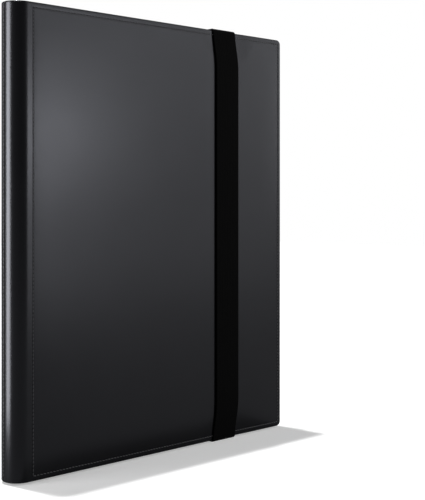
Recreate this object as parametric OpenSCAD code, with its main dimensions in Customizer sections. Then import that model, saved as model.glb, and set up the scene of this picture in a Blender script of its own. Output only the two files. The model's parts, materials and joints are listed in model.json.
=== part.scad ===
// Strap-closed trading card binder, standing on its lower edge with the
// spine at -X and the front cover facing -Y. All sizes are in millimetres.
// The binding is modelled about the hinge plane, where both covers meet the
// half-round spine, and in_frame() then centres it over the origin.

/* [Overall] */
// Height of the covers and the spine
cover_h = 325; // [200:1:400]
// Width of a cover, from its hinge to its fore edge
cover_w = 256.5; // [150:0.5:350]
// Radius of the covers' two outer corners
corner_r = 4; // [1:0.5:12]

/* [Cover layers] */
// Thickness of the leather-look skin
skin_t = 0.7; // [0.6:0.05:1.2]
// Thickness of the foam under the skin
padding_t = 0.6; // [0.3:0.1:2]
// Thickness of the stiff board
board_t = 1.4; // [1.2:0.1:3]
// Thickness of the lining inside the cover
liner_t = 0.3; // [0.2:0.05:0.8]
// How far the skin is turned in round the lining
turn_in = 8; // [5:0.5:20]
// Gap between a cover and the hinge plane
hinge_gap = 0.15; // [0.1:0.05:0.4]
// Slack between a layer and the skin that wraps its edges
layer_slack = 0.05; // [0.02:0.01:0.3]

/* [Spine] */
// Thickness of the bent stiffener inside the spine
stiffener_t = 0.8; // [0.4:0.1:1.2]
// Where the page margins are glued in, behind the hinge plane
binding_depth = 4; // [3:0.25:5]
// How far the binding block stays inside the spine's ends
binding_inset = 4; // [1:0.5:20]
// Angle of the spine's seam past its middle, towards the back cover
spine_seam_angle = 5; // [0:1:40]

/* [Pages] */
// Number of sheets, half of them turning with each cover
sheet_count = 20; // [2:2:20]
// Distance from one sheet to the next
sheet_pitch = 0.75; // [0.72:0.01:1.5]
// Thickness of a sheet's black backing
backing_t = 0.2; // [0.15:0.01:0.3]
// Thickness of the clear pocket film
film_t = 0.1; // [0.05:0.01:0.15]
// Height of the weld that holds the film off its backing
weld_t = 0.1; // [0.05:0.01:0.12]
// Gap between an outermost sheet and its cover
page_gap = 1.1; // [0.1:0.1:2]
// How far the sheets stay inside the covers' fore edge
page_inset_x = 6; // [3:0.5:15]
// How far the sheets stay inside the covers' top and bottom
page_inset_z = 6; // [3:0.5:15]
// Gap left at a sheet's crease
crease_gap = 0.15; // [0.12:0.01:0.3]

/* [Pockets] */
// Pockets in a row
pocket_columns = 3; // [1:1:4]
// Pockets in a column
pocket_rows = 3; // [1:1:4]
// From the hinge plane to the first pocket's open side
inner_margin = 16; // [14:0.5:40]
// From the last pocket's weld to the sheet's fore edge
outer_margin = 11; // [2:0.5:40]
// From a corner pocket to the sheet's top or bottom
end_margin = 3; // [1:0.5:20]
// Width of a weld line
weld_w = 2; // [1:0.25:5]
// Width of the slit where a card slides in
slit_w = 1.5; // [0.5:0.25:4]

/* [Stitching] */
// From a cover's edge to the middle of its stitch line
stitch_inset = 3.75; // [2.5:0.25:8]
// Width of the thread
thread_w = 0.5; // [0.3:0.05:0.8]
// Depth of the thread
thread_t = 0.3; // [0.2:0.05:0.4]
// Slack round the thread in its groove
groove_slack = 0.05; // [0.02:0.01:0.1]

/* [Strap] */
// Width of the elastic strap
strap_w = 25; // [12:0.5:40]
// Thickness of the elastic strap
strap_t = 1.2; // [0.8:0.1:2]
// From the hinge plane to the middle of the strap
strap_x = 192; // [80:1:230]
// Gap between the strap and what it lies on
strap_gap = 0.1; // [0.05:0.05:0.5]
// Thickness of the strap's end where it is sewn into the back cover
tab_t = 1; // [0.6:0.1:1.1]
// How far the strap's end reaches into the back cover
tab_depth = 14; // [6:1:40]

/* [Hidden] */
$fn = 96;
eps = 0.01;

cover_t = skin_t + padding_t + board_t + liner_t;
block_t = (sheet_count - 1) * sheet_pitch + backing_t + 2 * (weld_t + film_t);
inner_t = block_t + 2 * page_gap;
// From the middle plane to a cover's inner and outer face, which is also the
// spine's outer radius
inner_y = inner_t / 2;
outer_y = inner_y + cover_t;
liner_r = outer_y - skin_t - stiffener_t;
binding_r = liner_r - liner_t;

cover_z = strap_t + strap_gap;
page_w = cover_w - page_inset_x;
page_z = cover_z + page_inset_z;
page_h = cover_h - 2 * page_inset_z;
pocket_w = (page_w - inner_margin - outer_margin) / pocket_columns;
pocket_h = (page_h - 2 * end_margin) / pocket_rows;

strap_y = outer_y + strap_gap + strap_t;
tab_y = inner_y + liner_t;
groove_w = thread_w + 2 * groove_slack;
groove_t = thread_t + groove_slack;

frame_x = (outer_y - cover_w) / 2;
frame_y = (strap_y - outer_y) / 2;

// Middle of a sheet's thickness, from the middle plane
function sheet_y(n) = (n - (sheet_count - 1) / 2) * sheet_pitch;
// A sheet folds as far out from the covers' inner faces as it lies inside
// them, so that it keeps its place in the stack when its cover is opened
function crease_x(n) = cover_t + inner_y - abs(sheet_y(n));
function number(n) = str(n < 9 ? "0" : "", n + 1);

SHEETS = [0 : sheet_count - 1];

module in_frame() {
    translate([frame_x, frame_y, 0]) children();
}

// Turns what is drawn for the back cover into its front twin
module front() {
    mirror([0, 1, 0]) children();
}

// ---- Cover outlines, drawn in X and Z with the hinge at X = 0 ----

// A cover's outline, pulled in by a margin on its three free edges
module cover_outline(margin = 0, hinge = hinge_gap) {
    radius = max(corner_r - margin, 0.5);
    length = cover_w - hinge - margin;
    height = cover_h - 2 * margin;
    translate([hinge, cover_z + margin]) {
        square([length - radius, height]);
        translate([0, radius]) square([length, height - 2 * radius]);
        for (z = [radius, height - radius]) translate([length - radius, z]) circle(radius);
    }
}

// Stands an outline up and gives it a thickness from y to y + thickness
module layer(y, thickness) {
    translate([0, y + thickness, 0]) rotate([90, 0, 0]) linear_extrude(thickness) children();
}

// The stitch line round a cover as a flat ring of the given width
module stitch_ring(width) {
    outside = stitch_inset - width / 2;
    inside = stitch_inset + width / 2;
    difference() {
        cover_outline(outside, outside);
        cover_outline(inside, inside);
    }
}

// The strap's ends in the cover's top and bottom edges, or the room cut for
// them, which overruns those edges
module strap_ends(slack = 0, overrun = 0) {
    width = strap_w + 2 * slack;
    depth = tab_depth + slack + overrun;
    for (z = [cover_z - overrun, cover_z + cover_h + overrun - depth])
        translate([strap_x - width / 2, tab_y, z]) cube([width, tab_t + slack, depth]);
}

// ---- Cover pieces, drawn for the back cover ----

// A cover's outline inside its edges, running out past the hinge plane
module inside_outline(margin) {
    cover_outline(margin);
    translate([-1, cover_z + margin]) square([2, cover_h - 2 * margin]);
}

// The skin covers the outside, wraps the three free edges and is turned in
// over the board, where it frames the lining
module cover_skin() {
    difference() {
        layer(inner_y, cover_t) cover_outline();
        layer(tab_y, padding_t + board_t) inside_outline(skin_t);
        layer(inner_y - 1, liner_t + 1 + eps) inside_outline(turn_in);
        layer(outer_y - groove_t, groove_t + 1) stitch_ring(groove_w);
    }
}

module cover_padding() {
    layer(outer_y - skin_t - padding_t, padding_t) cover_outline(skin_t + layer_slack);
}

module cover_board() {
    layer(tab_y, board_t) cover_outline(skin_t + layer_slack);
}

module cover_liner() {
    layer(inner_y, liner_t) cover_outline(turn_in + layer_slack);
}

module cover_stitching() {
    layer(outer_y - groove_t + groove_slack / 2, thread_t) stitch_ring(thread_w);
}

// ---- Spine pieces ----

// A half tube on the far side of the hinge plane
module half_tube(outer_r, inner_r, height) {
    difference() {
        cylinder(h = height, r = outer_r);
        translate([0, 0, -1]) cylinder(h = height + 2, r = inner_r);
        translate([0, -outer_r - 1, -1]) cube([outer_r + 1, 2 * outer_r + 2, height + 2]);
    }
}

module spine_groove(width, depth, inset, outside) {
    rotate(180 - spine_seam_angle)
        translate([outer_y - depth, -width / 2, inset])
            cube([depth + outside, width, cover_h - 2 * inset]);
}

// The skin is turned in over the ends of the stiffener and the lining
module spine_skin() {
    color("#3a3a3e") in_frame() translate([0, 0, cover_z]) difference() {
        half_tube(outer_y, binding_r, cover_h);
        translate([0, 0, skin_t]) cylinder(h = cover_h - 2 * skin_t, r = outer_y - skin_t);
        spine_groove(groove_w, groove_t, stitch_inset, 1);
    }
}

module spine_stiffener() {
    color("#8a7a62") in_frame() translate([0, 0, cover_z + skin_t])
        half_tube(outer_y - skin_t, liner_r, cover_h - 2 * skin_t);
}

module spine_liner() {
    color("#1d1d20") in_frame() translate([0, 0, cover_z + skin_t])
        half_tube(liner_r, binding_r, cover_h - 2 * skin_t);
}

module spine_stitching() {
    color("#111113") in_frame() translate([0, 0, cover_z])
        spine_groove(thread_w, thread_t + groove_slack, stitch_inset + groove_slack, -2 * groove_slack);
}

// The glued block that fills the spine behind the page margins
module page_binding() {
    color("#26262a") in_frame() translate([0, 0, page_z + binding_inset]) difference() {
        cylinder(h = page_h - 2 * binding_inset, r = binding_r);
        translate([-binding_depth, -binding_r - 1, -1])
            cube([2 * binding_r, 2 * binding_r + 2, page_h + 2]);
    }
}

module page_margins() {
    color("#17171a") in_frame() for (n = SHEETS)
        translate([-binding_depth, sheet_y(n) - backing_t / 2, page_z])
            cube([binding_depth + crease_x(n) - crease_gap, backing_t, page_h]);
}

// ---- Covers ----

module front_cover_skin() {
    color("#3a3a3e") in_frame() front() cover_skin();
}

module front_cover_padding() {
    color("#6d6d72") in_frame() front() cover_padding();
}

module front_cover_board() {
    color("#8a7a62") in_frame() front() cover_board();
}

module front_cover_liner() {
    color("#1d1d20") in_frame() front() cover_liner();
}

module front_cover_stitching() {
    color("#111113") in_frame() front() cover_stitching();
}

module back_cover_skin() {
    color("#3a3a3e") in_frame() difference() {
        cover_skin();
        strap_ends(layer_slack, 1);
    }
}

module back_cover_padding() {
    color("#6d6d72") in_frame() cover_padding();
}

module back_cover_board() {
    color("#8a7a62") in_frame() difference() {
        cover_board();
        strap_ends(layer_slack, 1);
    }
}

module back_cover_liner() {
    color("#1d1d20") in_frame() cover_liner();
}

module back_cover_stitching() {
    color("#111113") in_frame() cover_stitching();
}

// ---- Strap ----

module strap_end_tabs() {
    color("#0d0d0f") in_frame() strap_ends();
}

// A loop that is open at the back cover, where its ends are sewn in
module elastic_strap() {
    top = 2 * cover_z + cover_h;
    end_y = tab_y + tab_t;
    color("#0a0a0c") in_frame() translate([strap_x - strap_w / 2, 0, 0]) rotate([90, 0, 90])
        linear_extrude(strap_w) difference() {
            union() {
                translate([strap_t - strap_y, 0]) square([strap_y - strap_t + end_y, top]);
                translate([-strap_y, strap_t]) square([strap_t, top - 2 * strap_t]);
                for (z = [strap_t, top - strap_t]) translate([strap_t - strap_y, z]) circle(strap_t);
            }
            translate([strap_t - strap_y, strap_t]) square([2 * strap_y + end_y, top - 2 * strap_t]);
        }
}

// ---- Pages ----

module page_backing(n) {
    start = crease_x(n) + crease_gap;
    color("#141416") in_frame() translate([start, sheet_y(n) - backing_t / 2, page_z])
        cube([page_w - start, backing_t, page_h]);
}

// One strip of film holds a column of pockets: welded at its top, at its
// bottom, between its pockets and down its far side, and open at its near side
module film_strip() {
    width = pocket_w - slit_w;
    height = pocket_rows * pocket_h + weld_w;
    translate([0, weld_t, 0]) cube([width, film_t, height]);
    translate([width - weld_w, 0, 0]) cube([weld_w, weld_t + eps, height]);
    for (row = [0 : pocket_rows]) translate([0, 0, row * pocket_h])
        cube([width, weld_t + eps, weld_w]);
}

module page_pockets(n) {
    color("#c9d3da", 0.35) in_frame()
        translate([inner_margin, sheet_y(n), page_z + end_margin - weld_w / 2])
            for (column = [0 : pocket_columns - 1], side = [0, 1])
                translate([column * pocket_w, 0, 0]) mirror([0, side, 0])
                    translate([0, backing_t / 2, 0]) film_strip();
}

spine_skin();
spine_stiffener();
spine_liner();
spine_stitching();
page_binding();
page_margins();
front_cover_skin();
front_cover_padding();
front_cover_board();
front_cover_liner();
front_cover_stitching();
back_cover_skin();
back_cover_padding();
back_cover_board();
back_cover_liner();
back_cover_stitching();
strap_end_tabs();
elastic_strap();
for (n = SHEETS) {
    page_backing(n);
    page_pockets(n);
}
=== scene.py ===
"""Finishes a stitched leather-look trading card binder around its packed construction model."""
import json
from math import ceil, cos, exp, pi, radians, sin

import bmesh
import bpy
from bpy.props import FloatProperty, FloatVectorProperty, IntProperty, PointerProperty
from mathutils import Matrix, Vector, noise


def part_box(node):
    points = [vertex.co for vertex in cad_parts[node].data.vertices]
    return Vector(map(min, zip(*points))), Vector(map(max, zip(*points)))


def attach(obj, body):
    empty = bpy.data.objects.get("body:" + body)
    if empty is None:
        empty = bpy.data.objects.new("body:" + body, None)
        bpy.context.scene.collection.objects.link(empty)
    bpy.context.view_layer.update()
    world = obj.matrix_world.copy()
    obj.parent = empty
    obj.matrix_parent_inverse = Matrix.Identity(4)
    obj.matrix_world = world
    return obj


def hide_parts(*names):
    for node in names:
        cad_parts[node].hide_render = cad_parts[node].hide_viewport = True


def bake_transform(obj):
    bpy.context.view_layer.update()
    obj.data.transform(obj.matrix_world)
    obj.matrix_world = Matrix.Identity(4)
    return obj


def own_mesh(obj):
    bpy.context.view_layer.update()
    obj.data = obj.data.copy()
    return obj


bl_info = {
    "name": "Card Binder",
    "version": (1, 0, 0),
    "blender": (4, 5, 0),
    "location": "3D View > Sidebar > Binder",
    "description": "Models the leather, stitching, elastic, foam and pocket film of a card binder",
    "category": "Object",
}

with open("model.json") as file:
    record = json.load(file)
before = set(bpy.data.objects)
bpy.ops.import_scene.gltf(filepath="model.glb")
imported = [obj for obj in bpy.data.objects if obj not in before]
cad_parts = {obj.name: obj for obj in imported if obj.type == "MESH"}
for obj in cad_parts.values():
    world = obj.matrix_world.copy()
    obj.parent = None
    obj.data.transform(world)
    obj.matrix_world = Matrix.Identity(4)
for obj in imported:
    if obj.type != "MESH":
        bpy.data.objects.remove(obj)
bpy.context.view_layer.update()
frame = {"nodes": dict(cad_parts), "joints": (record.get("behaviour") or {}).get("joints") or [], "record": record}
MM = 0.001

# The two covers are mirror images across the spine's middle plane
FRONT, BACK = -1, 1
COVERS = {FRONT: "front_cover", BACK: "back_cover"}
JOINTS = {joint["name"]: Vector(joint["pos_m"]) for joint in frame["joints"]}
HINGES = {side: JOINTS[name + "_hinge"] for side, name in COVERS.items()}
HINGE_X = HINGES[FRONT].x
SPINE_Y = (HINGES[FRONT].y + HINGES[BACK].y) / 2
SPINE_R = (HINGES[BACK].y - HINGES[FRONT].y) / 2

COVER_LO, COVER_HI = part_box("front_cover_skin")
PAD_LO, PAD_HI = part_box("front_cover_padding")
LINER_LO, LINER_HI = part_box("front_cover_liner")
STITCH_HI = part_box("front_cover_stitching")[1]
SPINE_LINER_LO, SPINE_LINER_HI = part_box("spine_liner")
SEAM_LO, SEAM_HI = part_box("spine_stitching")
STRAP_LO, STRAP_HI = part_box("elastic_strap")
TAB_LO, TAB_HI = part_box("strap_end_tabs")

COVER_W = COVER_HI.x - HINGE_X
COVER_T = COVER_HI.y - COVER_LO.y
BOTTOM, TOP = COVER_LO.z, COVER_HI.z
SKIN_T = PAD_LO.y - COVER_LO.y
PAD_T = PAD_HI.y - PAD_LO.y
LINER_T = LINER_HI.y - LINER_LO.y
LIP = COVER_HI.x - LINER_HI.x
SPINE_WALL = SPINE_R - (SPINE_LINER_HI.y - SPINE_LINER_LO.y) / 2 + LINER_T
STITCH_INSET = COVER_HI.x - STITCH_HI.x + (SEAM_HI.y - SEAM_LO.y) / 2
SEAM_ANGLE = (SEAM_LO.y + SEAM_HI.y - 2 * SPINE_Y) / 2 / SPINE_R
STRAP_X = (STRAP_LO.x + STRAP_HI.x) / 2 - HINGE_X
STRAP_W = STRAP_HI.x - STRAP_LO.x
STRAP_ROOM = BOTTOM - STRAP_LO.z
TAB_Y = (TAB_LO.y + TAB_HI.y) / 2
PAGES = sorted(name[:7] for name in frame["nodes"] if name.endswith("_pockets"))
COLUMNS = ROWS = 3

# Soft panels stacked in front, each from its own height up: lower edge in metres, and level
PANELS = ((0.0, 0.42), (0.12, 0.20), (0.27, 0.50), (0.40, 1.60), (0.56, 3.80))

# Where the overhead light comes from; only its direction counts
SUN_PLACE = Vector((-0.006, 0.045, 0.327))


# ---- Settings ----


def length(name, description, default, **limits):
    """A length given in millimetres and shown in the scene's unit."""
    limits = {key: value * MM for key, value in limits.items()}
    return FloatProperty(name=name, description=description, default=default * MM, unit="LENGTH",
                         precision=5, **limits)


def colour(name, description, default):
    return FloatVectorProperty(name=name, description=description, default=default, subtype="COLOR",
                               min=0.0, max=1.0)


class LeatherSettings(bpy.types.PropertyGroup):
    """Shape of the padded leather"""
    corner_r: length("Corner radius", "Radius of a cover's two outer corners", 4.0, min=1.0)
    outer_round: length("Outer edge", "Rounding of a cover's outer edges", 1.1, min=0.2)
    inner_round: length("Inner edge", "Rounding of a cover's inner edges", 0.5, min=0.1)
    crown: length("Crown", "How far the foam lifts the middle of a cover", 0.3, min=0.0)
    crown_reach: length("Crown reach", "Distance over which the crown rises from the stitches",
                        22.0, min=5.0)
    groove_w: length("Groove width", "Width of the groove pulled in by the stitches", 1.8, min=0.3)
    groove_d: length("Groove depth", "Depth of the groove pulled in by the stitches", 0.05, min=0.0)
    crease_w: length("Crease width", "Half width of the crease along each hinge", 4.5, min=1.0)
    crease_d: length("Crease depth", "Depth of the crease along each hinge", 0.12, min=0.0)
    dip_d: length("Strap dip", "How far the strap presses in a cover's edges", 0.6, min=0.0)
    dip_reach: length("Dip reach", "How far the dip runs in from the edge", 30.0, min=5.0)
    dip_side: length("Dip side", "How far the dip runs out beside the strap", 14.0, min=1.0)


class StitchSettings(bpy.types.PropertyGroup):
    """Thread and needle holes"""
    pitch: length("Pitch", "Distance from one stitch to the next", 2.7, min=1.0)
    size: length("Stitch length", "Visible length of one stitch", 2.15, min=0.5)
    thread: length("Thread", "Thickness of the thread", 0.65, min=0.2)
    hole: length("Needle hole", "Width of a needle hole", 0.85, min=0.1)
    slant: FloatProperty(name="Slant", description="Turn of each stitch from its line",
                         default=radians(7), subtype="ANGLE")


class StrapSettings(bpy.types.PropertyGroup):
    """Elastic strap"""
    ribs: IntProperty(name="Ribs", description="Number of lengthwise ribs on each face",
                      default=13, min=3)
    rib_d: length("Rib depth", "Depth of the furrow between two ribs", 0.14, min=0.0)
    slack: length("Slack", "Gap between the strap and the leather", 0.1, min=0.0)
    bow: length("Bow", "How far the strap bows out from the middle of the cover", 0.4, min=0.0)
    aside: length("Aside", "How much nearer the spine the strap lies than its slots", 1.2)
    lean: length("Lean", "How much nearer the spine the strap's ends lie than its middle",
                 2.6, min=0.0)
    bow_reach: length("Bow reach", "Distance from the edge over which the strap leans back",
                      30.0, min=5.0)


class PocketSettings(bpy.types.PropertyGroup):
    """Clear pocket film"""
    film_t: length("Film", "Thickness of the film", 0.08, min=0.02)
    shoulder: length("Shoulder", "Distance over which the film rises from a weld", 1.6, min=0.5)
    wave: length("Waviness", "Height of the film's slight waves", 0.03, min=0.0)
    weld: length("Weld", "Width of a welded line", 2.0, min=0.5)
    slit: length("Slit", "Opening between two columns of pockets, where the cards go in",
                 1.5, min=0.3)


class FinishSettings(bpy.types.PropertyGroup):
    """Colours"""
    leather: colour("Leather", "Leather-look skin", (0.0055, 0.0055, 0.0062))
    rubbed: colour("Rubbed leather", "Leather where edges are handled", (0.011, 0.011, 0.012))
    # Thread: grey, lighter than the black thread, a painted glint that stands in for its reflections
    thread: colour("Thread", "Polyester thread", (0.12, 0.12, 0.13))
    # Needle holes: a near-black matte colour, painted shade that stands in for the shade inside each hole
    hole: colour("Needle hole", "Inside of the needle holes", (0.004, 0.004, 0.004))
    elastic: colour("Elastic", "Woven elastic", (0.0024, 0.0024, 0.0025))
    lining: colour("Lining", "Fabric lining", (0.014, 0.014, 0.016))
    board: colour("Board", "Grey-brown binder's board", (0.33, 0.28, 0.20))
    foam: colour("Foam", "Thin foam", (0.20, 0.20, 0.21))
    page: colour("Page", "Black polypropylene", (0.0075, 0.0075, 0.0085))
    film: colour("Film", "Clear polypropylene", (0.82, 0.85, 0.88))


class StageSettings(bpy.types.PropertyGroup):
    """Camera, lamps and floor"""
    camera_depth: length("Camera depth", "Distance along the view from the camera to the front hinge",
                         716.0)
    camera_side: length("Camera side", "How far left of the camera's axis the front hinge lies",
                        124.0)
    camera_rise: length("Camera height", "Height of the camera above the covers' bottom edge",
                        192.0)
    camera_turn: FloatProperty(name="Camera turn", default=radians(45), subtype="ANGLE",
                               description="Direction the camera looks in, from +X")
    lens: FloatProperty(name="Lens", description="Focal length", default=76.46, unit="CAMERA")
    shift: FloatProperty(name="Shift", description="Vertical shift of the view", default=-0.104)
    panel_gap: length("Panel distance", "Distance from the front cover to the soft panels", 1000.0)
    panel_x: length("Panel place", "How far to the right the soft panels stand", 1000.0)
    panel_w: length("Panel width", "Width of the soft panels", 1000.0)
    panel_top: length("Panel top", "Height of the soft panels' top edge", 1200.0)
    spot_x: length("Spot place", "How far to the right the small lamp stands", 572.0)
    spot_z: length("Spot height", "Height of the small lamp", 309.0)
    panel: FloatProperty(name="Panels", description="Power of the soft panels", default=4.2,
                         unit="POWER")
    side: FloatProperty(name="Side", description="Power of the panel at the far right", default=6.5,
                        unit="POWER")
    spot: FloatProperty(name="Spot", description="Power of the small lamp", default=0.42,
                        unit="POWER")
    strip: FloatProperty(name="Strip", description="Power of the lamp beside the spine",
                         default=0.31, unit="POWER")
    strip_gap: length("Strip distance", "Distance from the spine to the lamp beside it", 200.0)
    strip_turn: FloatProperty(name="Strip turn", default=radians(161), subtype="ANGLE",
                              description="Direction from the spine to its lamp, from +X")
    strip_spread: FloatProperty(name="Strip spread", description="Opening of the spine lamp's beam",
                                default=radians(80), subtype="ANGLE")
    rear: FloatProperty(name="Rear", description="Power of the lamp behind", default=0.9,
                        unit="POWER")
    sun: FloatProperty(name="Overhead", description="Strength of the overhead light", default=2.7)
    fill: FloatProperty(name="Fill", description="Strength of the surroundings", default=0.06)
    floor: FloatProperty(name="Floor", description="Brightness of the floor to the camera",
                         default=0.80)
    glow: FloatProperty(name="Floor glow", description="How much the shaded floor glows",
                        default=0.34)
    dull: FloatProperty(name="Dull floor", default=0.20,
                        description="Brightness of the floor in reflections and as a light")


SETTINGS = {
    "binder_leather": LeatherSettings,
    "binder_stitch": StitchSettings,
    "binder_strap": StrapSettings,
    "binder_pocket": PocketSettings,
    "binder_finish": FinishSettings,
    "binder_stage": StageSettings,
}


# ---- Shader maths ----


class Shade:
    """A socket in a finish; arithmetic on it adds Math nodes."""

    def __init__(self, finish, socket):
        self.finish, self.socket = finish, socket

    def maths(self, operation, *values, clamp=False):
        inputs = dict(enumerate(values))
        return self.finish.node("ShaderNodeMath", inputs, operation=operation, use_clamp=clamp)

    def __add__(self, other):
        return self.maths("ADD", self, other)

    def __sub__(self, other):
        return self.maths("SUBTRACT", self, other)

    def __rsub__(self, other):
        return self.maths("SUBTRACT", other, self)

    def __mul__(self, other):
        return self.maths("MULTIPLY", self, other)

    __radd__ = __add__
    __rmul__ = __mul__

    def wave(self):
        """Sine of the value, lifted to run from 0 to 1."""
        return self.maths("SINE", self) * 0.5 + 0.5

    def between(self, low, high):
        """0 below low, 1 above high."""
        inputs = {"Value": self, "From Min": low, "From Max": high}
        return self.finish.node("ShaderNodeMapRange", inputs, interpolation_type="SMOOTHSTEP")


class Finish:
    """The look of a new material, or of the world, built node by node."""

    def __init__(self, name, kind="materials"):
        self.owner = getattr(bpy.data, kind).new(name)
        self.owner.use_nodes = True
        self.nodes = self.owner.node_tree.nodes
        self.links = self.owner.node_tree.links
        self.nodes.clear()

    def node(self, kind, inputs, out=0, stops=None, **settings):
        """Adds a node, sets it, fills its sockets with values or links, and returns one output."""
        made = self.nodes.new(kind)
        for key, value in settings.items():
            setattr(made, key, value)
        for key, value in inputs.items():
            if isinstance(value, Shade):
                self.links.new(value.socket, made.inputs[key])
            else:
                made.inputs[key].default_value = value
        return Shade(self, made.outputs[out])

    def place(self):
        """Object coordinates, which are the binder's own frame in metres."""
        return self.node("ShaderNodeTexCoord", {}, out="Object")

    def noise(self, place, scale, detail=2.0, **settings):
        inputs = {"Vector": place, "Scale": scale, "Detail": detail}
        return self.node("ShaderNodeTexNoise", inputs, out="Fac", **settings)

    def cells(self, place, scale, **settings):
        inputs = {"Vector": place, "Scale": scale}
        return self.node("ShaderNodeTexVoronoi", inputs, out="Distance", **settings)

    def axes(self, place):
        """The separate X, Y and Z of a place."""
        parts = self.node("ShaderNodeSeparateXYZ", {"Vector": place})
        return [Shade(self, socket) for socket in parts.socket.node.outputs]

    def mixed(self, factor, first, second):
        inputs = {"Factor": factor, 6: (*first, 1.0), 7: (*second, 1.0)}
        return self.node("ShaderNodeMix", inputs, out=2, data_type="RGBA")

    def bump(self, height, distance, strength=1.0, **over):
        inputs = {"Height": height, "Distance": distance, "Strength": strength, **over}
        return self.node("ShaderNodeBump", inputs)

    def surface(self, **sockets):
        """Ends the finish with a Principled shader; socket names have _ for each space."""
        inputs = {key.replace("_", " "): value for key, value in sockets.items()}
        shader = self.node("ShaderNodeBsdfPrincipled", inputs)
        return self.end(shader)

    def end(self, shader, output="ShaderNodeOutputMaterial"):
        """Links a shader to the output and returns the material or world."""
        output = self.nodes.new(output)
        self.links.new(shader.socket, output.inputs["Surface"])
        return self.owner

    def seen(self):
        """1 to the camera and through clear film, 0 to every other ray."""
        path = self.node("ShaderNodeLightPath", {}).socket.node.outputs
        camera, clear = Shade(self, path["Is Camera Ray"]), Shade(self, path["Is Transmission Ray"])
        return camera.maths("MAXIMUM", camera, clear)


def solid(rgb):
    return (*rgb, 1.0)


def scaled(rgb, share):
    return [channel * share for channel in rgb]


# ---- Finishes ----


def leather_finish(colours):
    """Fine pebbled grain, faint mottling, and a sheen where edges and hinges are rubbed."""
    f = Finish("leather_look")
    place = f.place()
    pebble = f.cells(place, 1150.0, feature="SMOOTH_F1")
    pores = f.noise(place, 5200.0, 3.0)
    mottle = f.noise(place, 38.0, 4.0)
    sway = f.noise(place, 16.0, 1.0)
    rub = f.node("ShaderNodeAttribute", {}, out="Fac", attribute_name="rub")
    worn = rub * mottle.between(0.35, 0.65)
    tone = f.mixed(worn, colours.leather, colours.rubbed)
    rough = 0.205 + mottle * 0.05 + pores * 0.03 - worn * 0.03
    grain = f.bump(pebble * 0.7 + pores * 0.3, 0.045 * MM, 0.6)
    normal = f.bump(sway, 0.5 * MM, 0.2, Normal=grain)
    # The cool Specular Tint is painted light: it gives the leather's reflections the colour of slightly cool lamps
    return f.surface(Base_Color=tone, Roughness=rough, Normal=normal,
                     Specular_Tint=solid((0.88, 0.90, 1.0)))


def thread_painted_glint_finish(colours):
    """Twisted polyester thread, lightened from black to grey as a painted glint."""
    f = Finish("sewing_thread_painted_glint")
    x, y, z = f.axes(f.place())
    twist = ((x + y + z) * 9000.0).wave()
    fuzz = f.noise(f.place(), 3000.0)
    tone = f.mixed(twist * 0.6 + fuzz * 0.4, scaled(colours.thread, 0.6), colours.thread)
    return f.surface(Base_Color=tone, Roughness=0.45 + fuzz * 0.2, Normal=f.bump(twist, 0.05 * MM),
                     Sheen_Weight=0.15)


# Needle holes are flat matte discs; their dark colour is painted shade, not the leather's own colour
def painted_hole_shade_finish(colours):
    f = Finish("needle_hole_painted_shade")
    tone = f.mixed(f.noise(f.place(), 2000.0), colours.hole, scaled(colours.hole, 2))
    return f.surface(Base_Color=tone, Roughness=0.9, Specular_IOR_Level=0.1)


def elastic_finish(colours):
    """Woven elastic: picks run across the strap and break over each rib."""
    f = Finish("woven_elastic")
    across, along, _ = f.axes(f.node("ShaderNodeTexCoord", {}, out="UV"))
    fuzz = f.noise(f.place(), 2600.0, 3.0)
    picks = (along * 7800.0 + (across * 3200.0).wave() * 1.4).wave()
    dark, light = scaled(colours.elastic, 0.55), scaled(colours.elastic, 1.5)
    tone = f.mixed(picks * 0.6 + fuzz * 0.4, dark, light)
    normal = f.bump(picks + fuzz * 0.4, 0.08 * MM)
    return f.surface(Base_Color=tone, Roughness=0.78 + fuzz * 0.15, Normal=normal,
                     Specular_IOR_Level=0.04)


def lining_finish(colours):
    """Close plain-weave lining."""
    f = Finish("fabric_lining")
    x, y, z = f.axes(f.place())
    weave = ((x + y) * 9500.0).wave() * (z * 9500.0).wave()
    slub = f.noise(f.place(), 220.0, 3.0)
    dark, light = scaled(colours.lining, 0.6), scaled(colours.lining, 1.3)
    tone = f.mixed(weave * 0.5 + slub * 0.5, dark, light)
    return f.surface(Base_Color=tone, Roughness=0.75 + slub * 0.12, Normal=f.bump(weave, 0.06 * MM),
                     Sheen_Weight=0.1)


def board_finish(colours):
    """Pressed grey-brown board with darker fibres."""
    f = Finish("binders_board")
    fibres = f.noise(f.place(), 420.0, 5.0, noise_type="RIDGED_MULTIFRACTAL")
    tone = f.mixed(fibres, scaled(colours.board, 0.65), colours.board)
    return f.surface(Base_Color=tone, Roughness=0.82 + fibres * 0.08,
                     Normal=f.bump(fibres, 0.08 * MM))


def foam_finish(colours):
    """Open-celled foam."""
    f = Finish("thin_foam")
    pores = f.cells(f.place(), 2100.0)
    tone = f.mixed(pores.between(0.1, 0.6), scaled(colours.foam, 0.4), colours.foam)
    return f.surface(Base_Color=tone, Roughness=0.9 + pores * 0.05, Normal=f.bump(pores, 0.2 * MM))


def page_finish(colours):
    """Black sheet with a fine cast texture."""
    f = Finish("black_page")
    grit = f.noise(f.place(), 2400.0, 3.0)
    sway = f.noise(f.place(), 22.0, 2.0)
    tone = f.mixed(sway, scaled(colours.page, 0.8), scaled(colours.page, 1.3))
    grain = f.bump(grit, 0.03 * MM, 0.6)
    normal = f.bump(sway, 0.6 * MM, 0.3, Normal=grain)
    return f.surface(Base_Color=tone, Roughness=0.42 + grit * 0.12, Normal=normal)


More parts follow.
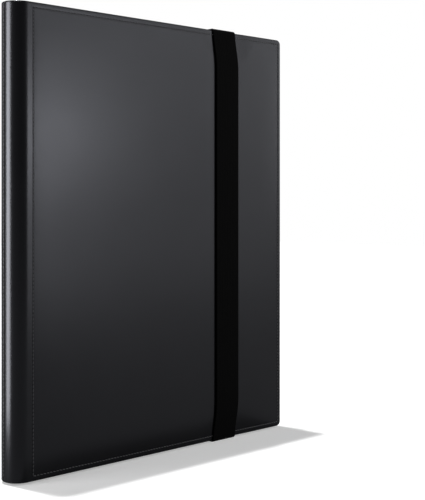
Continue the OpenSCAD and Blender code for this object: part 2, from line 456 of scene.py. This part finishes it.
def film_finish(colours, name, haze, embossed):
    """Clear film, wavy or ribbed by the welding bar; haze is the share of light it stops."""
    f = Finish(name)
    drift = f.noise(f.place(), 28.0, 3.0)
    tone = f.mixed(drift, scaled(colours.film, 0.9), colours.film)
    if embossed:
        x, _, z = f.axes(f.place())
        normal = f.bump(((x + z) * 6500.0).wave(), 0.06 * MM, 0.5)
    else:
        normal = f.bump(drift, 0.7 * MM, 0.5)
    return f.surface(Base_Color=tone, Roughness=0.10 + drift * 0.08, Alpha=haze + drift * 0.03,
                     Normal=normal, IOR=1.49)


# ---- Shapes ----


def place_piece(name, bm, slot_name, *materials):
    """Turns a bmesh into a shown piece."""
    mesh = bpy.data.meshes.new(name)
    for face in bm.faces:
        face.smooth = True
    bm.to_mesh(mesh)
    bm.free()
    piece = bpy.data.objects.new(name, mesh)
    bpy.context.scene.collection.objects.link(piece)
    for material in materials:
        mesh.materials.append(material)
    return piece


def ease(t):
    """Smooth step from 0 to 1."""
    t = min(max(t, 0.0), 1.0)
    return t * t * (3 - 2 * t)


def dome(distance, reach):
    """Rises from 0 to 1 over reach, steep at first and level at the end."""
    t = min(max(distance / reach, 0.0), 1.0)
    return 1 - (1 - t) * (1 - t)


def crown_at(u, z):
    """How far the foam lifts the leather at a place on a cover."""
    s = bpy.context.scene.binder_leather
    inside = STITCH_INSET + s.groove_w / 2
    lift = s.crown
    for edge in (u, COVER_W - u, z - BOTTOM, TOP - z):
        lift *= dome(edge - inside, s.crown_reach)
    return lift


def dip_at(u, z):
    """How far the strap presses the leather in near the cover's top and bottom edges."""
    s = bpy.context.scene.binder_leather
    beside = 1 - ease((abs(u - STRAP_X) - STRAP_W / 2) / s.dip_side)
    inward = 1 - ease(min(z - BOTTOM, TOP - z) / s.dip_reach)
    return s.dip_d * beside * inward


def rise_at(u, z):
    """Height of the outer leather above its nominal surface; u runs from hinge to fore edge."""
    s = bpy.context.scene.binder_leather
    edge = min(u, COVER_W - u, z - BOTTOM, TOP - z)
    groove = s.groove_d * (1 - ease(abs(edge - STITCH_INSET) * 2 / s.groove_w))
    crease = s.crease_d * exp(-((u / s.crease_w) ** 2))
    return crown_at(u, z) - dip_at(u, z) - groove * (u > 0) - crease


def fold(side, u, depth, z):
    """Where a point of the opened-out leather lies once folded; negative u is on the spine."""
    radius = SPINE_R - depth
    angle = max(-u, 0.0) / SPINE_R
    x = HINGE_X + max(u, 0.0) - radius * sin(angle)
    return Vector((x, SPINE_Y + side * radius * cos(angle), z))


def cuts_between(low, high, step):
    """Evenly spaced places strictly between two ends."""
    count = max(2, ceil((high - low) / step))
    return [low + (high - low) * n / count for n in range(1, count)]


def cut(bm, places, normal):
    """Cuts the whole mesh at each place along an axis."""
    for place in places:
        bmesh.ops.bisect_plane(bm, geom=bm.verts[:] + bm.edges[:] + bm.faces[:],
                               plane_co=normal * place, plane_no=normal)


def edge_cuts():
    """Distances from a cover's edge at which its surface changes."""
    s = bpy.context.scene.binder_leather
    groove = [STITCH_INSET + s.groove_w * share for share in (-0.5, -0.25, 0, 0.25, 0.5)]
    return [2 * MM, *groove, 5.5 * MM, LIP, 10.5 * MM, 13.5 * MM, 17 * MM, 21 * MM]


def leather_cuts(bm, seam):
    """Cuts the opened-out leather finely where it bends and coarsely where it is level."""
    s = bpy.context.scene.binder_leather
    hinge = [n * MM for n in (-6, -4.5, -3.2, -2.2, -1.4, -0.7, 0.0, 0.7, 1.4, 2.2, 2.9)]
    spine = cuts_between(-seam, -6 * MM, 0.65 * MM)
    flank = [STRAP_W / 2 + s.dip_side * share for share in (0, 0.25, 0.5, 0.75, 1)]
    strap = [STRAP_X + way * offset for way in (-1, 1) for offset in flank] + [STRAP_X]
    near, far = edge_cuts(), [COVER_W - place for place in edge_cuts()]
    level = cuts_between(near[-1], strap[0] - 4 * MM, 12 * MM) + [far[-1] - 9 * MM]
    cut(bm, sorted(hinge + spine + near + far + strap + level), Vector((1, 0, 0)))
    near, far = [BOTTOM + place for place in edge_cuts()], [TOP - place for place in edge_cuts()]
    level = cuts_between(near[-1], far[-1], 10 * MM)
    cut(bm, sorted(near + far + level), Vector((0, 0, 1)))


def rectangle(bm, left, right, low, high):
    """A face lying in X and Z; returns its corners."""
    places = ((left, 0, low), (right, 0, low), (right, 0, high), (left, 0, high))
    corners = [bm.verts.new(place) for place in places]
    bm.faces.new(corners)
    return corners


def bare_slab(left, right, low, high, thickness, corner):
    """A slab with two rounded fore corners, lying in X and Z from depth 0 to its thickness."""
    bm = bmesh.new()
    corners = rectangle(bm, left, right, low, high)
    bmesh.ops.bevel(bm, geom=corners[1:3], offset=corner, offset_type="OFFSET", segments=8,
                    profile=0.5, affect="VERTICES", material=-1)
    made = bmesh.ops.extrude_face_region(bm, geom=bm.faces[:])["geom"]
    moved = [v for v in made if isinstance(v, bmesh.types.BMVert)]
    bmesh.ops.translate(bm, verts=moved, vec=(0, thickness, 0))
    bmesh.ops.recalc_face_normals(bm, faces=bm.faces[:])
    return bm


def rim_edges(bm, depth, left):
    """Edges round the slab's outline at one depth, leaving out its left end."""
    def flat(edge):
        return all(abs(v.co.y - depth) < 1e-7 for v in edge.verts)

    def at_left(edge):
        return all(v.co.x < left + 1e-7 for v in edge.verts)
    return [e for e in bm.edges if flat(e) and not at_left(e)]


def round_edges(bm, edges, radius, segments):
    bmesh.ops.bevel(bm, geom=edges, offset=radius, offset_type="OFFSET", segments=segments,
                    profile=0.5, affect="EDGES", material=-1, clamp_overlap=False)


def cover_leather(side, material):
    """One cover's leather with its half of the spine, turned in over the board at the edges."""
    s = bpy.context.scene.binder_leather
    seam = SPINE_R * (pi / 2 - side * SEAM_ANGLE)
    bm = bare_slab(-seam, COVER_W, BOTTOM, TOP, COVER_T, s.corner_r)
    end = [f for f in bm.faces if all(v.co.x < -seam + 1e-7 for v in f.verts)]
    bmesh.ops.delete(bm, geom=end, context="FACES_ONLY")
    for depth, radius, segments in ((0, s.outer_round, 4), (COVER_T, s.inner_round, 3)):
        round_edges(bm, rim_edges(bm, depth, -seam), radius, segments)
    leather_cuts(bm, seam)

    def opened(face):
        """True where no leather lies inside: behind the lining and all along the spine."""
        at = face.calc_center_median()
        inner = all(v.co.y > COVER_T - 1e-7 for v in face.verts)
        lined = at.x < COVER_W - LIP and BOTTOM + LIP < at.z < TOP - LIP
        return inner and (lined or at.x < 0)
    bmesh.ops.delete(bm, geom=[f for f in bm.faces if opened(f)], context="FACES")
    rub = bm.verts.layers.float.new("rub")
    for v in bm.verts:
        u, depth, z = v.co
        edge = min(COVER_W - u, z - BOTTOM, TOP - z)
        handled = 1 - ease(edge / (2.2 * MM))
        creased = exp(-((u / (3 * MM)) ** 2))
        v[rub] = min(1.0, handled + 0.6 * creased) * (depth < COVER_T / 2)
        thin = ease(-u / (2 * MM))
        wall = COVER_T + (SPINE_WALL - COVER_T) * thin
        level = depth * wall / COVER_T if depth > s.outer_round else depth
        valley = 0.25 * MM * exp(-(((u + seam) / (0.7 * MM)) ** 2))
        v.co = fold(side, u, level - (rise_at(u, z) - valley) * (1 - depth / COVER_T), z)
    bmesh.ops.recalc_face_normals(bm, faces=bm.faces[:])
    outermost = max(bm.faces, key=lambda face: side * face.calc_center_median().y)
    if outermost.normal.y * side < 0:
        bmesh.ops.reverse_faces(bm, faces=bm.faces[:])
    name = COVERS[side]
    piece = place_piece(name + "_leather", bm, "leather_skin", material)
    wall = piece.modifiers.new("wall", "SOLIDIFY")
    wall.thickness, wall.offset, wall.use_even_offset = SKIN_T, -1, True
    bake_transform(piece)
    nodes = [name + "_skin"] + (["spine_skin"] if side == FRONT else [])
    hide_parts(*nodes)
    return piece


def cover_foam(side, material):
    """The thin foam between board and leather, crowned and dipped as the leather is."""
    bm = bare_slab(PAD_LO.x - HINGE_X, PAD_HI.x - HINGE_X, PAD_LO.z, PAD_HI.z, PAD_T, 3.2 * MM)
    s = bpy.context.scene.binder_leather
    round_edges(bm, rim_edges(bm, 0, PAD_LO.x - HINGE_X), 0.25 * MM, 2)
    near, far = [6 * MM, 12 * MM, 18 * MM, 24 * MM], [COVER_W - n * MM for n in (24, 18, 12, 6)]
    flank = [STRAP_X + way * (STRAP_W / 2 + s.dip_side * share)
             for way in (-1, 1) for share in (0, 0.5, 1)]
    cut(bm, sorted(near + far + flank), Vector((1, 0, 0)))
    cut(bm, [BOTTOM + place for place in near] + [TOP - place for place in near]
        + cuts_between(BOTTOM + near[-1], TOP - near[-1], 25 * MM), Vector((0, 0, 1)))
    for v in bm.verts:
        u, depth, z = v.co
        lift = max(crown_at(u, z) - dip_at(u, z), 0.1 * MM - PAD_T)
        v.co = fold(side, u, SKIN_T + 0.03 * MM + depth - lift * (1 - depth / PAD_T), z)
    bmesh.ops.recalc_face_normals(bm, faces=bm.faces[:])
    piece = place_piece(COVERS[side] + "_foam", bm, "foam", material)
    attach(piece, COVERS[side])
    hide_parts(COVERS[side] + "_padding")
    return piece


def add_bead(bm, centre, tangent, normal, sizes, rings, finish_index):
    """A small rounded bead: its length lies along the tangent, then come its width and height."""
    across = normal.cross(tangent)
    along, wide, high = (size / 2 for size in sizes)
    basis = Matrix((across * wide, normal * high, tangent * along)).transposed()
    matrix = Matrix.Translation(centre) @ basis.to_4x4()
    made = bmesh.ops.create_uvsphere(bm, u_segments=6, v_segments=rings, radius=1, matrix=matrix)
    for face in {f for v in made["verts"] for f in v.link_faces}:
        face.material_index = finish_index


def pour(part, bm):
    """Adds all of one bmesh to another."""
    mesh = bpy.data.meshes.new("part")
    part.to_mesh(mesh)
    part.free()
    bm.from_mesh(mesh)
    bpy.data.meshes.remove(mesh)


def sew(bm, side, start, end):
    """A row of stitches and needle holes from one point (u, z) of the leather to another."""
    s = bpy.context.scene.binder_stitch
    start, run = Vector(start), Vector(end) - Vector(start)
    count = round(run.length / s.pitch)
    pace = run / count
    for first in range(0, count, 12):
        part = bmesh.new()
        for n in range(first, min(first + 12, count)):
            for step in (0.0, 0.5):
                u, z = start + pace * (n + step)
                sunk = -rise_at(u, z) if u > 0 else 0.2 * MM
                out = (fold(side, u, 0, z) - fold(side, u, MM, z)).normalized()
                tangent = fold(side, u + pace.x / 9, 0, z + pace.y / 9) - fold(side, u, 0, z)
                slant = Matrix.Rotation(side * s.slant * (step > 0), 3, out)
                tangent = (slant @ tangent).normalized()
                if step:
                    centre = fold(side, u, sunk - s.thread * 0.22, z)
                    add_bead(part, centre, tangent, out, (s.size, s.thread, s.thread * 0.85), 6, 0)
                else:
                    # A flat dark disc at each needle hole: painted shade of the hole
                    centre = fold(side, u, sunk - 0.01 * MM, z)
                    add_bead(part, centre, tangent, out, (s.hole, s.hole, 0.12 * MM), 4, 1)
        pour(part, bm)


def cover_stitches(side, thread, hole):
    """The ring of stitches round a cover."""
    bm = bmesh.new()
    left, right = STITCH_INSET, COVER_W - STITCH_INSET
    low, high = BOTTOM + STITCH_INSET, TOP - STITCH_INSET
    ring = [(left, low), (right, low), (right, high), (left, high), (left, low)]
    for start, end in zip(ring, ring[1:]):
        sew(bm, side, start, end)
    bmesh.ops.recalc_face_normals(bm, faces=bm.faces[:])
    piece = place_piece(COVERS[side] + "_stitches", bm, "thread", thread, hole)
    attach(piece, COVERS[side])
    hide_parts(COVERS[side] + "_stitching")
    return piece


def seam_stitches(thread, hole):
    """The row of stitches that joins the two halves of the leather along the spine."""
    bm = bmesh.new()
    u = -SPINE_R * (pi / 2 + SEAM_ANGLE)
    sew(bm, FRONT, (u, SEAM_LO.z), (u, SEAM_HI.z))
    bmesh.ops.recalc_face_normals(bm, faces=bm.faces[:])
    piece = place_piece("spine_seam_stitches", bm, "thread", thread, hole)
    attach(piece, "spine")
    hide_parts("spine_stitching")
    return piece


def strap_route():
    """Points (y, z) of the strap's middle line, out of the back cover and round the front cover."""
    s = bpy.context.scene.binder_strap
    round_r = bpy.context.scene.binder_leather.outer_round
    half = (STRAP_ROOM - s.slack) / 2
    middle = (BOTTOM + TOP) / 2

    def face_y(z):
        clear = s.slack + half + s.bow * ease(min(z - BOTTOM, TOP - z) / s.bow_reach)
        return HINGES[FRONT].y - rise_at(STRAP_X, z) - clear

    def corner(centre_y, centre_z, radius, first, last, steps=7):
        angles = [first + (last - first) * n / (steps - 1) for n in range(steps)]
        return [(centre_y + radius * cos(a), centre_z + radius * sin(a)) for a in angles]

    turn, root = round_r + s.slack + half, half * 1.1
    lower = corner(TAB_Y - root, BOTTOM - s.slack - half + root, root, 0.0, -pi / 2)
    front_y = face_y(BOTTOM + round_r) + turn
    lower = [(TAB_Y, BOTTOM + 0.3 * MM)] + lower
    lower += corner(front_y, BOTTOM + round_r, turn, -pi / 2, -pi)
    reach = s.bow_reach + 6 * MM
    rising = [BOTTOM + round_r + (reach - round_r) * n / 14 for n in range(1, 14)]
    level = cuts_between(BOTTOM + reach, middle, 14 * MM)
    front = [(face_y(z), z) for z in rising + level]
    half_route = lower + front
    mirrored = [(y, BOTTOM + TOP - z) for y, z in reversed(half_route)]
    return half_route + [(face_y(middle), middle)] + mirrored


def elastic_strap(material):
    """A ribbed band swept along its route."""
    s = bpy.context.scene.binder_strap
    route = strap_route()
    bm = bmesh.new()
    along, beside = (bm.verts.layers.float.new(key) for key in ("along", "beside"))
    half_w, half_t = STRAP_W / 2, (STRAP_ROOM - s.slack) / 2
    hem, rib_steps = 0.3 * MM, 6
    steps = s.ribs * rib_steps

    def furrow(n):
        """Depth of the strap's face at one step across it."""
        return s.rib_d * (0.5 - 0.5 * cos(2 * pi * n / rib_steps + pi)) ** 3

    face = [(-half_w + hem + (STRAP_W - 2 * hem) * n / steps, half_t - furrow(n))
            for n in range(steps + 1)]
    selvedge = [(half_w, half_t * 0.55), (half_w, -half_t * 0.55)]
    outline = face + selvedge
    outline += [(a, -b) for a, b in reversed(face)] + [(-a, -b) for a, b in selvedge]

    def station(n):
        """The matrix that stands the strap's section across the route at one point."""
        before, here, after = route[max(n - 1, 0)], route[n], route[min(n + 1, len(route) - 1)]
        ahead = Vector((0, after[0] - before[0], after[1] - before[1])).normalized()
        across = Vector((1, 0, 0))
        outward = ahead.cross(across) * -1
        turn = Matrix((across, outward, ahead)).transposed().to_4x4()
        near_edge = 1 - ease(min(here[1] - BOTTOM, TOP - here[1]) / s.bow_reach)
        aside = s.aside + s.lean * near_edge
        return Matrix.Translation((HINGE_X + STRAP_X - aside, here[0], here[1])) @ turn

    ring = [bm.verts.new((a, b, 0)) for a, b in outline]
    for v in ring:
        v[beside] = v.co.x
    edges = [bm.edges.new((ring[n - 1], ring[n])) for n in range(len(ring))]
    bmesh.ops.transform(bm, matrix=station(0), verts=ring)
    first, travelled = edges, 0.0
    for n in range(1, len(route)):
        made = bmesh.ops.extrude_edge_only(bm, edges=edges)["geom"]
        verts = [g for g in made if isinstance(g, bmesh.types.BMVert)]
        edges = [g for g in made if isinstance(g, bmesh.types.BMEdge)]
        travelled += (Vector(route[n]) - Vector(route[n - 1])).length
        bmesh.ops.transform(bm, matrix=station(n) @ station(n - 1).inverted(), verts=verts)
        for v in verts:
            v[along] = travelled
    for loop in (first, edges):
        bmesh.ops.contextual_create(bm, geom=loop)
    bmesh.ops.recalc_face_normals(bm, faces=bm.faces[:])
    uv = bm.loops.layers.uv.new("UVMap")
    for f in bm.faces:
        for loop in f.loops:
            loop[uv].uv = (loop.vert[beside], loop.vert[along])
    piece = place_piece("elastic_band", bm, "elastic", material)
    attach(piece, "strap")
    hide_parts("elastic_strap")
    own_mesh(piece)
    return piece


def pocket_strip(column, left, right, welds, top):
    """One column of pockets as a bare sheet over Y = 0, pressed down at the welds."""
    s = bpy.context.scene.binder_pocket
    low_end, high_end = welds[0] - s.weld / 2, welds[-1] + s.weld / 2
    strip = bmesh.new()
    rectangle(strip, left, right, low_end, high_end)
    mouth, side_weld = left + 2 * MM, right - s.weld
    x_cuts = [mouth, side_weld - s.shoulder, side_weld - s.shoulder / 2, side_weld]
    x_cuts += cuts_between(mouth, side_weld - s.shoulder, 14 * MM)
    z_cuts = [z + way * (s.weld / 2 + s.shoulder * share) for z in welds for way in (-1, 1)
              for share in (0, 0.5, 1)]
    for low, high in zip(welds, welds[1:]):
        z_cuts += cuts_between(low + s.weld, high - s.weld, 16 * MM)
    cut(strip, sorted(x_cuts), Vector((1, 0, 0)))
    cut(strip, sorted(z for z in z_cuts if low_end < z < high_end), Vector((0, 0, 1)))
    for v in strip.verts:
        x, z = v.co.x, v.co.z
        to_weld = min([side_weld - x] + [abs(z - w) - s.weld / 2 for w in welds])
        wave = noise.noise(Vector((x, z, column)) * 45) * s.wave
        v.co.y = s.film_t + (top - s.film_t - s.wave + wave) * ease(to_weld / s.shoulder)
    for f in strip.faces:
        f.material_index = int(all(v.co.y < s.film_t + 1e-6 for v in f.verts))
    return strip


def pocket_film(page, clear, weld):
    """Both faces of one page's pocket film."""
    s = bpy.context.scene.binder_pocket
    lo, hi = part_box(page + "_pockets")
    back_lo, back_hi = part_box(page + "_backing")
    pitch_x, pitch_z = (hi.x - lo.x + s.slit) / COLUMNS, (hi.z - lo.z - s.weld) / ROWS
    welds = [lo.z + pitch_z * row + s.weld / 2 for row in range(ROWS + 1)]
    top = hi.y - back_hi.y - s.film_t / 2 - 0.01 * MM
    bm = bmesh.new()
    for column in range(COLUMNS):
        left = lo.x + pitch_x * column
        pour(pocket_strip(column, left, left + pitch_x - s.slit, welds, top), bm)
    bmesh.ops.recalc_face_normals(bm, faces=bm.faces[:])
    twin = bmesh.ops.duplicate(bm, geom=bm.verts[:] + bm.edges[:] + bm.faces[:])["geom"]
    flipped = {g for g in twin if isinstance(g, bmesh.types.BMVert)}
    for v in bm.verts:
        v.co.y = back_lo.y - v.co.y if v in flipped else back_hi.y + v.co.y
    bmesh.ops.solidify(bm, geom=bm.faces[:], thickness=s.film_t)
    bmesh.ops.recalc_face_normals(bm, faces=bm.faces[:])
    piece = place_piece(page + "_film", bm, "pocket_film", clear, weld)
    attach(piece, page)
    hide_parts(page + "_pockets")
    return piece


# ---- Stage ----


def aim(piece, place, target):
    piece.location = place
    piece.rotation_euler = (Vector(target) - Vector(place)).to_track_quat("-Z", "Y").to_euler()


def soft_lamp(name, place, target, width, height, power):
    """A rectangular lamp facing its target."""
    data = bpy.data.lights.new(name, "AREA")
    data.shape, data.size, data.size_y, data.energy = "RECTANGLE", width, height, power
    lamp = bpy.data.objects.new(name, data)
    bpy.context.scene.collection.objects.link(lamp)
    aim(lamp, place, target)
    return lamp


def make_camera(s):
    data = bpy.data.cameras.new("camera")
    data.lens, data.sensor_width, data.shift_y = s.lens, 36.0, s.shift
    camera = bpy.data.objects.new("camera", data)
    bpy.context.scene.collection.objects.link(camera)
    ahead = Vector((cos(s.camera_turn), sin(s.camera_turn), 0))
    right = Vector((ahead.y, -ahead.x, 0))
    hinge = Vector((HINGE_X, HINGES[FRONT].y, BOTTOM))
    place = hinge - ahead * s.camera_depth + right * s.camera_side + Vector((0, 0, s.camera_rise))
    aim(camera, place, place + ahead)
    bpy.context.scene.camera = camera


def make_floor(s):
    """A floor that is white to the camera outside the binder's shadow, and dull to other rays."""
    bm = bmesh.new()
    bmesh.ops.create_grid(bm, x_segments=8, y_segments=8, size=3.0)
    mesh = bpy.data.meshes.new("floor")
    bm.to_mesh(mesh)
    bm.free()
    floor = bpy.data.objects.new("floor", mesh)
    bpy.context.scene.collection.objects.link(floor)
    f = Finish("pale_floor")
    lit = f.node("ShaderNodeBsdfDiffuse", {"Color": solid([s.floor] * 3)})
    glow = f.node("ShaderNodeEmission", {"Color": solid((1, 1, 1)), "Strength": s.glow})
    shown = f.node("ShaderNodeAddShader", {0: lit, 1: glow})
    dull = f.node("ShaderNodeBsdfDiffuse", {"Color": solid([s.dull] * 3)})
    mixed = f.node("ShaderNodeMixShader", {"Fac": f.seen(), 1: dull, 2: shown})
    mesh.materials.append(f.end(mixed))


def make_world(s):
    """White to the camera and through clear film, and dim to everything else."""
    f = Finish("surroundings", "worlds")
    dim = f.node("ShaderNodeBackground", {"Color": solid((0.95, 0.97, 1.0)), "Strength": s.fill})
    white = f.node("ShaderNodeBackground", {"Color": solid((1, 1, 1)), "Strength": 1.0})
    mixed = f.node("ShaderNodeMixShader", {"Fac": f.seen(), 1: dim, 2: white})
    bpy.context.scene.world = f.end(mixed, "ShaderNodeOutputWorld")


def make_lamps(s):
    """Soft panels in front, two small lamps among them, a strip by the spine, and light overhead."""
    wall_y = HINGES[FRONT].y - s.panel_gap
    for n, (low, level) in enumerate(PANELS):
        height = s.panel_top - low
        place = Vector((s.panel_x, wall_y, low + height / 2))
        soft_lamp(f"panel_{n + 1}", place, place + Vector((0, 1, 0)), s.panel_w, height,
                  s.panel * level * height)
    side = Vector((1.85, wall_y, 0.75))
    soft_lamp("side", side, side + Vector((0, 1, 0)), 0.9, 1.1, s.side)
    hinge = HINGES[FRONT]
    spot = Vector((s.spot_x, wall_y, s.spot_z))
    soft_lamp("spot", spot, Vector((hinge.x, hinge.y, spot.z)), 0.20, 0.12, s.spot)
    column = Vector((s.spot_x, wall_y - 0.05, 0.25))
    soft_lamp("column", column, Vector((hinge.x, hinge.y, column.z)), 0.22, 0.50, s.spot)
    spine = Vector((HINGE_X - SPINE_R, SPINE_Y, 0.21))
    beside = Vector((cos(s.strip_turn), sin(s.strip_turn), 0)) * s.strip_gap
    strip = soft_lamp("strip", spine + beside, spine, 0.115, 0.42, s.strip)
    strip.data.spread = s.strip_spread
    soft_lamp("rear", Vector((-0.2, 1.3, 0.6)), Vector((0, 0, 0.16)), 1.0, 1.0, s.rear)
    data = bpy.data.lights.new("overhead", "SUN")
    data.energy, data.angle = s.sun, radians(2)
    sun = bpy.data.objects.new("overhead", data)
    bpy.context.scene.collection.objects.link(sun)
    aim(sun, SUN_PLACE, Vector((0, 0, 0)))


# ---- Operators ----


def finish(name):
    """A material made earlier by the finishes operator."""
    return bpy.data.materials[name]


class BinderOperator:
    bl_options = {"REGISTER", "UNDO"}

    def execute(self, context):
        self.build(context.scene)
        return {"FINISHED"}


class BINDER_OT_finishes(BinderOperator, bpy.types.Operator):
    """Make the finishes and put them on the construction parts"""
    bl_idname = "binder.finishes"
    bl_label = "Finishes"

    def build(self, scene):
        colours = scene.binder_finish
        by_slot = {
            "leather_skin": leather_finish(colours),
            "thread": thread_painted_glint_finish(colours),
            "elastic": elastic_finish(colours),
            "lining": lining_finish(colours),
            "board": board_finish(colours),
            "foam": foam_finish(colours),
            "page_black": page_finish(colours),
            "pocket_film": film_finish(colours, "clear_film", 0.10, False),
        }
        painted_hole_shade_finish(colours)
        film_finish(colours, "welded_film", 0.22, True)
        slots = {part["node"]: part["material_slot"] for part in frame["record"]["subparts"]}
        for name, node in frame["nodes"].items():
            node.data.materials.clear()
            node.data.materials.append(by_slot[slots[name]])


class BINDER_OT_leather(BinderOperator, bpy.types.Operator):
    """Fold the leather over the covers and the spine"""
    bl_idname = "binder.leather"
    bl_label = "Leather"

    def build(self, scene):
        for side in COVERS:
            cover_leather(side, finish("leather_look"))


class BINDER_OT_foam(BinderOperator, bpy.types.Operator):
    """Lay the thin foam under the leather"""
    bl_idname = "binder.foam"
    bl_label = "Foam"

    def build(self, scene):
        for side in COVERS:
            cover_foam(side, finish("thin_foam"))


class BINDER_OT_stitches(BinderOperator, bpy.types.Operator):
    """Sew the covers' edges and the spine seam"""
    bl_idname = "binder.stitches"
    bl_label = "Stitches"

    def build(self, scene):
        thread, hole = finish("sewing_thread_painted_glint"), finish("needle_hole_painted_shade")
        for side in COVERS:
            cover_stitches(side, thread, hole)
        seam_stitches(thread, hole)


class BINDER_OT_strap(BinderOperator, bpy.types.Operator):
    """Stretch the elastic strap round the front cover"""
    bl_idname = "binder.strap"
    bl_label = "Elastic strap"

    def build(self, scene):
        elastic_strap(finish("woven_elastic"))


class BINDER_OT_pockets(BinderOperator, bpy.types.Operator):
    """Weld the clear pockets onto every page"""
    bl_idname = "binder.pockets"
    bl_label = "Pockets"

    def build(self, scene):
        for page in PAGES:
            pocket_film(page, finish("clear_film"), finish("welded_film"))


class BINDER_OT_stage(BinderOperator, bpy.types.Operator):
    """Set up the floor, lamps and camera"""
    bl_idname = "binder.stage"
    bl_label = "Stage"

    def build(self, scene):
        scene.view_settings.view_transform = "Standard"
        make_camera(scene.binder_stage)
        make_floor(scene.binder_stage)
        make_world(scene.binder_stage)
        make_lamps(scene.binder_stage)


OPERATORS = (BINDER_OT_finishes, BINDER_OT_leather, BINDER_OT_foam, BINDER_OT_stitches,
             BINDER_OT_strap, BINDER_OT_pockets, BINDER_OT_stage)


class BINDER_PT_panel(bpy.types.Panel):
    """Sizes, colours and building steps of the binder"""
    bl_label = "Binder"
    bl_space_type = "VIEW_3D"
    bl_region_type = "UI"
    bl_category = "Binder"

    def draw(self, context):
        for operator in OPERATORS:
            self.layout.operator(operator.bl_idname)
        for name, settings in SETTINGS.items():
            box = self.layout.box()
            box.label(text=settings.__doc__)
            for key in settings.__annotations__:
                box.prop(getattr(context.scene, name), key)


CLASSES = (*SETTINGS.values(), *OPERATORS, BINDER_PT_panel)


def register():
    for cls in CLASSES:
        bpy.utils.register_class(cls)
    for name, settings in SETTINGS.items():
        setattr(bpy.types.Scene, name, PointerProperty(type=settings))


def unregister():
    for name in SETTINGS:
        delattr(bpy.types.Scene, name)
    for cls in reversed(CLASSES):
        bpy.utils.unregister_class(cls)


def main():
    register()
    for operator in OPERATORS:
        group, name = operator.bl_idname.split(".")
        getattr(getattr(bpy.ops, group), name)()


if __name__ == "__main__":
    main()
